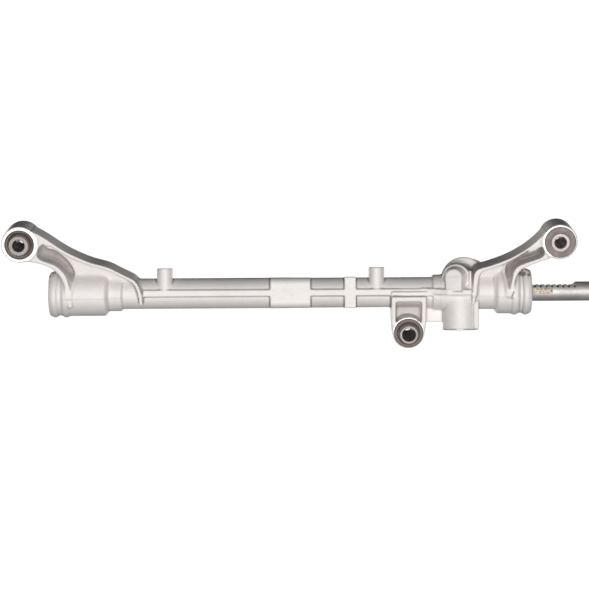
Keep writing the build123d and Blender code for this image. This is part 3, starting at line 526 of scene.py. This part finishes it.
def ramp(nt, fac, a, b, p0=0.3, p1=0.7):
    r = nt.nodes.new("ShaderNodeValToRGB")
    r.color_ramp.elements[0].position = p0
    r.color_ramp.elements[1].position = p1
    r.color_ramp.elements[0].color = (*a, 1) if not isinstance(a, float) else (a, a, a, 1)
    r.color_ramp.elements[1].color = (*b, 1) if not isinstance(b, float) else (b, b, b, 1)
    nt.links.new(fac, r.inputs["Fac"])
    return r.outputs["Color"]


def bump(nt, b, height, strength, dist, chain=None):
    k = nt.nodes.new("ShaderNodeBump")
    k.inputs["Strength"].default_value = strength
    k.inputs["Distance"].default_value = dist
    nt.links.new(height, k.inputs["Height"])
    if chain is not None:
        nt.links.new(chain, k.inputs["Normal"])
    nt.links.new(k.outputs["Normal"], b.inputs["Normal"])
    return k.outputs["Normal"]


def metal(name, c0, c1, r0, r1, grain=900.0, big=35.0, metallic=1.0, bump_mm=0.05, stretch=None, fine=0.25):
    m, nt, b, tc = nodes_of(name)
    b.inputs["Metallic"].default_value = metallic
    f = noise(nt, tc, big, 4.0, 0.6)
    nt.links.new(ramp(nt, f, c0, c1), b.inputs["Base Color"])
    g = noise(nt, tc, grain, 3.0, 0.6, stretch)
    nt.links.new(ramp(nt, g, r0, r1), b.inputs["Roughness"])
    bump(nt, b, g, fine, bump_mm / 1000.0)
    return m, nt, b, tc


MAT = {}


def attr(nt, name):
    t = nt.nodes.new("ShaderNodeAttribute")
    t.attribute_name = name
    return t.outputs["Fac"]


def mixed(nt, fac, a, b, kind="RGBA"):
    t = nt.nodes.new("ShaderNodeMix")
    t.data_type = kind
    i = {"RGBA": (6, 7, 2), "FLOAT": (2, 3, 0)}[kind]
    nt.links.new(fac, t.inputs[0])
    for v, k in ((a, i[0]), (b, i[1])):
        if isinstance(v, (int, float)):
            t.inputs[k].default_value = v
        elif isinstance(v, tuple):
            t.inputs[k].default_value = (*v, 1)
        else:
            nt.links.new(v, t.inputs[k])
    return t.outputs[i[2]]


# the casting: blasted skin, machined faces where the mesh says so, painted shade in recesses and corners, and a few
# dark marks
m, nt, b, tc = nodes_of("cast_aluminium")
# the recess attribute holds painted shade in pockets, webs and concave corners, plus a parting line and a few dark
# marks
mach_f, shade_and_marks_fac = attr(nt, "machined"), attr(nt, "recess")
skin = ramp(nt, noise(nt, tc, 22.0, 4.0, 0.6), (0.80, 0.768, 0.750), (0.89, 0.866, 0.850))
speck = ramp(nt, noise(nt, tc, 260.0, 3.0, 0.7), (0.72, 0.70, 0.69), (0.90, 0.885, 0.87), 0.24, 0.42)
skin = mixed(nt, noise(nt, tc, 60.0, 2.0, 0.5), skin, speck)
turned_c = ramp(nt, noise(nt, tc, 500.0, 2.0, 0.5), (0.90, 0.89, 0.88), (0.95, 0.94, 0.93))
# dark brown for the painted shade in recesses and corners and for the dark marks
shade_and_mark_colour = ramp(nt, noise(nt, tc, 90.0, 4.0, 0.6), (0.172, 0.147, 0.136), (0.29, 0.258, 0.244))
col = mixed(nt, shade_and_marks_fac, mixed(nt, mach_f, skin, turned_c), shade_and_mark_colour)
nt.links.new(col, b.inputs["Base Color"])
grain = noise(nt, tc, 650.0, 3.0, 0.65)
r_skin = ramp(nt, grain, 0.72, 0.80)
nt.links.new(mixed(nt, mach_f, r_skin, ramp(nt, grain, 0.40, 0.52)), b.inputs["Roughness"])
nt.links.new(mixed(nt, shade_and_marks_fac, 0.56, 0.40, "FLOAT"), b.inputs["Metallic"])
b.distribution = "GGX"
n1 = bump(nt, b, noise(nt, tc, 110.0, 3.0, 0.55), 0.35, 0.00018)
bump(nt, b, grain, 0.45, 0.00010, n1)
MAT["cast"] = m
MAT["sleeve"] = metal("turned_sleeve_steel", (0.205, 0.184, 0.180), (0.270, 0.244, 0.238), 0.46, 0.60, 1200.0, 60.0, 0.7, 0.05)[0]
MAT["sleeve_light"] = metal("turned_sleeve_steel_light", (0.28, 0.250, 0.243), (0.38, 0.342, 0.334), 0.46, 0.60, 1200.0, 60.0, 0.7, 0.05)[0]
MAT["sleeve_bright"] = metal("bright_sleeve_steel", (0.80, 0.785, 0.775), (0.90, 0.885, 0.875), 0.50, 0.62, 1200.0, 60.0, 0.7, 0.05)[0]
MAT["ground"] = metal("ground_steel", (0.56, 0.55, 0.54), (0.64, 0.63, 0.62), 0.26, 0.34, 1800.0, 30.0, 1.0, 0.02, (0.1, 1, 1))[0]
MAT["oiled"] = metal("oiled_ground_steel", (0.42, 0.41, 0.40), (0.56, 0.55, 0.54), 0.54, 0.66, 1500.0, 45.0, 0.80, 0.03, (0.15, 1, 1))[0]
MAT["bearing"] = metal("bearing_steel", (0.66, 0.66, 0.67), (0.72, 0.72, 0.73), 0.10, 0.16, 1500.0, 50.0, 1.0, 0.01)[0]
MAT["pressed"] = metal("pressed_steel", (0.50, 0.50, 0.49), (0.60, 0.60, 0.58), 0.26, 0.36, 1100.0, 50.0, 1.0, 0.03)[0]
MAT["dark"] = metal("phosphated_spring_steel", (0.05, 0.05, 0.052), (0.09, 0.09, 0.09), 0.42, 0.55, 1100.0, 80.0, 0.6, 0.04)[0]
MAT["wire"] = metal("drawn_spring_wire", (0.42, 0.42, 0.43), (0.54, 0.54, 0.55), 0.24, 0.34, 1400.0, 60.0, 1.0, 0.03)[0]
MAT["zinc"] = metal("zinc_plate", (0.60, 0.58, 0.52), (0.70, 0.68, 0.62), 0.28, 0.4, 1300.0, 70.0, 1.0, 0.03)[0]
MAT["guide"] = metal("die_cast_guide", (0.50, 0.50, 0.49), (0.60, 0.59, 0.58), 0.34, 0.46, 1200.0, 50.0, 0.9, 0.05)[0]
MAT["plug"] = metal("turned_plug", (0.62, 0.61, 0.60), (0.70, 0.69, 0.68), 0.28, 0.38, 1300.0, 40.0, 0.95, 0.03)[0]


def soft(name, c0, c1, r0, r1, grain=600.0, bump_mm=0.15, fine=0.4):
    m, nt, b, tc = nodes_of(name)
    b.inputs["Metallic"].default_value = 0.0
    f = noise(nt, tc, 90.0, 4.0, 0.6)
    nt.links.new(ramp(nt, f, c0, c1), b.inputs["Base Color"])
    g = noise(nt, tc, grain, 4.0, 0.7)
    nt.links.new(ramp(nt, g, r0, r1), b.inputs["Roughness"])
    bump(nt, b, g, fine, bump_mm / 1000.0)
    return m


MAT["rubber"] = soft("bush_rubber", (0.090, 0.074, 0.068), (0.165, 0.139, 0.129), 0.50, 0.70)
MAT["rubber_dusty"] = soft("dusty_bush_rubber", (0.155, 0.130, 0.122), (0.240, 0.208, 0.196), 0.55, 0.75)
MAT["seal"] = soft("seal_rubber", (0.018, 0.018, 0.018), (0.035, 0.034, 0.033), 0.42, 0.58)
MAT["plastic"] = soft("bush_plastic", (0.10, 0.095, 0.09), (0.15, 0.14, 0.13), 0.4, 0.5)
MAT["liner"] = soft("liner_plastic", (0.34, 0.23, 0.11), (0.42, 0.30, 0.16), 0.35, 0.45)

BY_NODE = {
    "left_bush_outer_sleeve": "sleeve_bright", "right_bush_outer_sleeve": "sleeve_bright", "lower_bush_outer_sleeve": "sleeve_bright",
    "left_bush_inner_sleeve": "sleeve", "right_bush_inner_sleeve": "sleeve_light", "lower_bush_inner_sleeve": "sleeve",
    "left_bush_rubber": "rubber", "right_bush_rubber": "rubber_dusty", "lower_bush_rubber": "rubber",
    "rack_bar": "oiled", "pinion_shaft": "ground", "rack_bush": "plastic", "rack_bush_o_rings": "seal", "rack_bush_circlip": "dark",
    "bearing_outer_race": "bearing", "bearing_inner_race": "bearing", "bearing_balls": "bearing", "bearing_cage": "pressed",
    "bearing_circlip": "dark", "pinion_nut": "zinc", "needle_shell": "pressed", "needle_rollers": "bearing", "needle_cage": "pressed",
    "seal_case": "pressed", "seal_lip": "seal", "seal_garter_spring": "wire", "rack_guide": "guide", "rack_guide_liner": "liner",
    "rack_guide_o_ring": "seal", "rack_guide_spring": "wire", "adjuster_plug": "plug"}
for node, key in BY_NODE.items():
    o = NODES[node]
    if not o.material_slots:
        o.data.materials.append(MAT[key])
    for s in o.material_slots:
        s.link = "OBJECT"
        s.material = MAT[key]

housing.data.materials.append(MAT["cast"])


def ease(v, a, b):
    t = np.clip((v - a) / (b - a), 0, 1)
    return t * t * (3 - 2 * t)


# where the casting is machined
fac = np.zeros(len(V))
for c, r, bore in ((LEFT_EYE, LEFT_R, 20.0), (RIGHT_EYE, RIGHT_R, 17.4), (LOWER_EYE, LOWER_R, 16.8)):
    rad = np.hypot(V[:, 0] - c[0], V[:, 2] - c[1])
    ends = np.maximum(ease(-np.abs(V[:, 1] - EYE_Y0), -1.3, -0.5), ease(-np.abs(V[:, 1] - EYE_Y1), -1.3, -0.5))
    fac = np.maximum(fac, ends * ease(-rad, -r - 0.6, -r + 0.9))
    fac = np.maximum(fac, ease(-rad, -bore - 0.9, -bore - 0.3))
rr = np.hypot(V[:, 1], V[:, 2])
inward = (NRM[:, 1] * V[:, 1] + NRM[:, 2] * V[:, 2]) / np.maximum(rr, 1e-6)
fac = np.maximum(fac, ease(-rr, -23.0, -22.2) * ease(-inward, 0.1, 0.5) * ((V[:, 0] < 90) | (V[:, 0] > 555)))
fac = np.maximum(fac, ease(-rr, -25.4, -24.4) * ((V[:, 0] < 0.9) | (V[:, 0] > 599.1)))
wd = -(V[:, 1] * N[1] + V[:, 2] * N[2])
rq = np.sqrt((V[:, 0] - PX) ** 2 + (V[:, 1] * T[1] + V[:, 2] * T[2]) ** 2)
fac = np.maximum(fac, ease(-rq, -22.0, -21.2) * ease(wd, 46.5, 47.2))
rel = V - P0
sa = rel @ A
rp = np.sqrt(np.maximum((rel ** 2).sum(1) - sa ** 2, 0))
fac = np.maximum(fac, ease(-rp, -28.6, -27.8) * ease(sa, 49.5, 50.3))
fac = np.maximum(fac, ease(-rp, -24.6, -24.0) * ease(sa, 14.0, 18.0))
# how deep in a pocket, as painted shade that is strongest on the pocket floors
painted_shade_and_marks = np.zeros(len(V))
for pocket, amount in ((L_POCKET, 0.82), (R_POCKET, 1.0)):
    box = (V[:, 0] > min(q[0] for q in pocket) - 4) & (V[:, 0] < max(q[0] for q in pocket) + 4) & (V[:, 2] > 0)
    d = poly_field(V[box, 0], V[box, 2], curve(pocket, True, 4))
    inside = ease(-d, -0.6, 1.6)
    front = ease(V[box, 1], -25.0, -15.0) * ease(-V[box, 1], -3.0, 0.0)
    back = ease(-V[box, 1], -6.0, -3.5) * ease(V[box, 1], 1.8, 3.5)
    floor_w = 0.50 + 0.50 * ease(np.abs(NRM[box, 1]), 0.3, 0.8)
    painted_shade_and_marks[box] = np.maximum(painted_shade_and_marks[box], amount * inside * floor_w * np.maximum(front, back))
# painted shade inside the lower lug's pocket
box = (V[:, 0] > 428) & (V[:, 0] < 466) & (V[:, 2] > -40) & (V[:, 2] < -5)
inside = ease(15.4 - np.abs(V[box, 0] - 446.7), 0.0, 2.0) * ease(-6.4 - V[box, 2], 0.0, 2.0)
painted_shade_and_marks[box] = np.maximum(painted_shade_and_marks[box], 0.52 * inside * np.maximum(ease(V[box, 1], -22, -12) * (V[box, 1] < -3), ease(-V[box, 1], -5, -2) * (V[box, 1] > -3)))
# painted shade on the recessed front webs of both arms
for web, amount in ((L_WEB, 0.16), (R_WEB, 0.24)):
    box = (V[:, 0] > min(q[0] for q in web)) & (V[:, 0] < max(q[0] for q in web)) & (V[:, 1] < -9.0) & (V[:, 1] > -12.0) & (V[:, 2] > 12)
    d = poly_field(V[box, 0], V[box, 2], web)
    painted_shade_and_marks[box] = np.maximum(painted_shade_and_marks[box], amount * ease(-d, 0.0, 3.0))
# painted shade in the concave corners of the casting, weaker over the pinion tower and the left collar, none on
# machined faces
for width, lo_, hi_, amount in ((1.0, 0.03, 0.16, 0.78), (2.0, 0.10, 0.62, 0.50)):
    soft_D = np.clip(D, -6.0, 6.0).astype(np.float32)
    for axis in range(3):
        soft_D = blur1(soft_D, axis, gauss(width / H))
    tower = ease(V[:, 0], 425.0, 445.0) * ease(-V[:, 0], -560.0, -540.0)
    tower = np.maximum(tower, ease(-V[:, 0], -105.0, -92.0))
    painted_shade_and_marks = np.maximum(painted_shade_and_marks, amount * (1.0 - 0.62 * tower) * ease(-sample(soft_D, V)[0], lo_, hi_) * (1.0 - fac))
    del soft_D
# dark blotchy marks under the arms, on top of both collars
el = np.degrees(np.arctan2(V[:, 2], -V[:, 1]))
rs = np.random.RandomState(5)
for x0, x1, e0, e1, count in ((584.5, 598.5, 56.0, 104.0, 34), (-1.5, 8.5, 62.0, 100.0, 15)):
    near = (V[:, 0] > x0 - 5) & (V[:, 0] < x1 + 5) & (el > e0 - 14) & (el < e1 + 14) & (rr > 21.0) & (rr < 31.5)
    mark = np.zeros(int(near.sum()))
    for i in range(count):
        cx, ce, rb = x0 + (x1 - x0) * rs.rand(), e0 + (e1 - e0) * rs.rand(), 0.8 + 1.5 * rs.rand()
        mark += np.exp(-((V[near, 0] - cx) ** 2 + ((el[near] - ce) * 0.45) ** 2) / rb ** 2)
    painted_shade_and_marks[near] = np.maximum(painted_shade_and_marks[near], 0.97 * ease(mark, 0.15, 1.1))
# the die's parting line round the collars, and a painted shadow line beside the right arm's rib
line = ease(-np.abs(V[:, 2] + 1.2), -0.9, -0.3) * (V[:, 1] < 0) * (rr > 20.5)
painted_shade_and_marks = np.maximum(painted_shade_and_marks, 0.22 * line * ((V[:, 0] > 14) & (V[:, 0] < 92) | (V[:, 0] > 489) & (V[:, 0] < 574)))
# painted shadow beside the foot of the right arm's lower rib
t = np.clip((V[:, 2] + 0.5) / 6.0, 0, 1)
painted_rib_shadow = ease(-np.hypot(V[:, 0] - (574.0 + 2.4 * t), V[:, 2] - (-0.5 + 6.0 * t)), -1.4, -0.5) * (V[:, 1] < 0)
painted_shade_and_marks = np.maximum(painted_shade_and_marks, 0.9 * painted_rib_shadow)
for nm, val in (("machined", fac), ("recess", painted_shade_and_marks)):
    at = housing.data.attributes.new(nm, "FLOAT", "POINT")
    at.data.foreach_set("value", val.astype(np.float32))
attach(housing, "gear_housing")
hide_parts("housing")

# assembly grease squeezed out on the bar beside the right collar
rs = np.random.RandomState(11)
gx, ga = np.meshgrid(np.linspace(600.3, 628.5, 152), np.radians(np.linspace(-8.0, 36.0, 52)), indexing="ij")
heap = np.full(gx.shape, math.exp(-0.22 * 9.0))
for i in range(120):
    cx, ca = 600.5 + 28.0 * rs.rand() ** 1.25, math.radians(-1.0 + 33.0 * rs.rand())
    rb, hb = 0.7 + 1.5 * rs.rand(), 0.10 + 0.42 * rs.rand()
    heap += np.exp(9.0 * (hb * (1.0 - ((gx - cx) / (1.6 * rb)) ** 2 - ((ga - ca) * 12.0 / rb) ** 2) - 0.12).clip(-4, 2))
gh = np.log(heap) / 9.0
gh -= 1.2 * (ease(gx, 625.5, 628.5) + ease(ga, math.radians(29.0), math.radians(35.0)) + ease(-ga, math.radians(-1.0), math.radians(8.0)))
gr = 12.0 + np.clip(gh, -0.25, 0.45)
outer = np.stack([gx, -gr * np.cos(ga), gr * np.sin(ga)], -1).reshape(-1, 3)
inner = np.stack([gx, -11.6 * np.cos(ga), 11.6 * np.sin(ga)], -1).reshape(-1, 3)
nx_, na_ = gx.shape
ids = np.arange(nx_ * na_).reshape(nx_, na_)
q = np.stack([ids[:-1, :-1], ids[1:, :-1], ids[1:, 1:], ids[:-1, 1:]], -1).reshape(-1, 4)
m_ = nx_ * na_
faces = q.tolist() + (q[:, ::-1] + m_).tolist()
rim = list(ids[:, 0]) + list(ids[-1, 1:]) + list(ids[-2::-1, -1]) + list(ids[0, -2:0:-1])
faces += [[rim[i], rim[i] + m_, rim[(i + 1) % len(rim)] + m_, rim[(i + 1) % len(rim)]] for i in range(len(rim))]
grease = make_mesh("assembly_grease", np.concatenate([outer, inner]) / 1000.0, np.array(faces))
m, nt, b, tc = nodes_of("assembly_grease")
g0 = ramp(nt, noise(nt, tc, 420.0, 3.0, 0.6), (0.13, 0.105, 0.08), (0.58, 0.51, 0.40), 0.38, 0.58)
nt.links.new(g0, b.inputs["Base Color"])
nt.links.new(ramp(nt, noise(nt, tc, 800.0, 2.0, 0.5), 0.34, 0.50), b.inputs["Roughness"])
b.inputs["Metallic"].default_value = 0.0
bump(nt, b, noise(nt, tc, 900.0, 3.0, 0.6), 0.5, 0.0002)
grease.data.materials.append(m)
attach(grease, "rack")

# ====================================================================== stage, light and camera
floor_me = bpy.data.meshes.new("studio_floor")
floor_me.from_pydata([(-12, -12, 0), (12, -12, 0), (12, 12, 0), (-12, 12, 0)], [], [(0, 1, 2, 3)])
floor = bpy.data.objects.new("studio_floor", floor_me)
floor.location = (0.3, 0, -1.2)
bpy.context.scene.collection.objects.link(floor)
m = bpy.data.materials.new("pale_floor")
m.use_nodes = True
nt = m.node_tree
for k in list(nt.nodes):
    nt.nodes.remove(k)
out = nt.nodes.new("ShaderNodeOutputMaterial")
mix = nt.nodes.new("ShaderNodeMixShader")
em = nt.nodes.new("ShaderNodeEmission")
em.inputs["Color"].default_value = (1, 1, 1, 1)
em.inputs["Strength"].default_value = 1.05
df = nt.nodes.new("ShaderNodeBsdfDiffuse")
df.inputs["Color"].default_value = (0.09, 0.09, 0.09, 1)
lp = nt.nodes.new("ShaderNodeLightPath")
nt.links.new(lp.outputs["Is Camera Ray"], mix.inputs["Fac"])
nt.links.new(df.outputs["BSDF"], mix.inputs[1])
nt.links.new(em.outputs["Emission"], mix.inputs[2])
nt.links.new(mix.outputs["Shader"], out.inputs["Surface"])
floor_me.materials.append(m)

world = bpy.data.worlds.new("studio")
bpy.context.scene.world = world
world.use_nodes = True
nt = world.node_tree
for k in list(nt.nodes):
    nt.nodes.remove(k)
out = nt.nodes.new("ShaderNodeOutputWorld")
mix = nt.nodes.new("ShaderNodeMixShader")
white = nt.nodes.new("ShaderNodeBackground")
white.inputs["Color"].default_value = (1, 1, 1, 1)
white.inputs["Strength"].default_value = 1.05
dim = nt.nodes.new("ShaderNodeBackground")
dim.inputs["Color"].default_value = (1.0, 0.97, 0.95, 1)
dim.inputs["Strength"].default_value = 0.008
lp = nt.nodes.new("ShaderNodeLightPath")
nt.links.new(lp.outputs["Is Camera Ray"], mix.inputs["Fac"])
nt.links.new(dim.outputs["Background"], mix.inputs[1])
nt.links.new(white.outputs["Background"], mix.inputs[2])
nt.links.new(mix.outputs["Shader"], out.inputs["Surface"])

EL = math.radians(12.0)
back = Vector((0, -math.cos(EL), math.sin(EL)))
target = Vector((0.3052, 0.0, -0.0022))
cam_data = bpy.data.cameras.new("camera")
cam = bpy.data.objects.new("camera", cam_data)
bpy.context.scene.collection.objects.link(cam)
cam_data.sensor_width = 36.0
cam_data.lens = 2050.0 / 589.0 * 36.0
cam_data.clip_start, cam_data.clip_end = 0.05, 60.0
cam.rotation_mode = "QUATERNION"
cam.location = target + back * 2.5625
cam.rotation_quaternion = (-back).to_track_quat("-Z", "Y") @ Quaternion((0, 0, 1), math.radians(-0.35))
bpy.context.scene.camera = cam


def panel(name, az, el, dist, w, h, power, color=(1, 1, 1)):
    """Soft rectangular light at an angle round the object, facing it."""
    a, e = math.radians(az), math.radians(el)
    d = Vector((math.sin(a) * math.cos(e), -math.cos(a) * math.cos(e), math.sin(e)))
    L = bpy.data.lights.new(name, "AREA")
    L.shape = "RECTANGLE"
    L.size, L.size_y = w, h
    L.energy = power
    L.color = color
    o = bpy.data.objects.new(name, L)
    o.location = Vector((0.3, 0, 0)) + d * dist
    o.rotation_mode = "QUATERNION"
    o.rotation_quaternion = (-d).to_track_quat("-Z", "Y")
    bpy.context.scene.collection.objects.link(o)
    return o


panel("front_box", 2, 4, 3.2, 1.3, 0.8, 114.0, (1.0, 0.974, 0.962))
panel("top_strip", 0, 24, 3.0, 1.8, 0.25, 8.0, (1.0, 0.974, 0.962))
panel("back_left", -142, -9, 3.2, 1.5, 0.7, 56.0, (1.0, 0.974, 0.962))
panel("back_right", 142, -9, 3.2, 1.5, 0.7, 56.0, (1.0, 0.974, 0.962))

bpy.context.scene.view_settings.view_transform = "Standard"
bpy.context.scene.view_settings.look = "None"
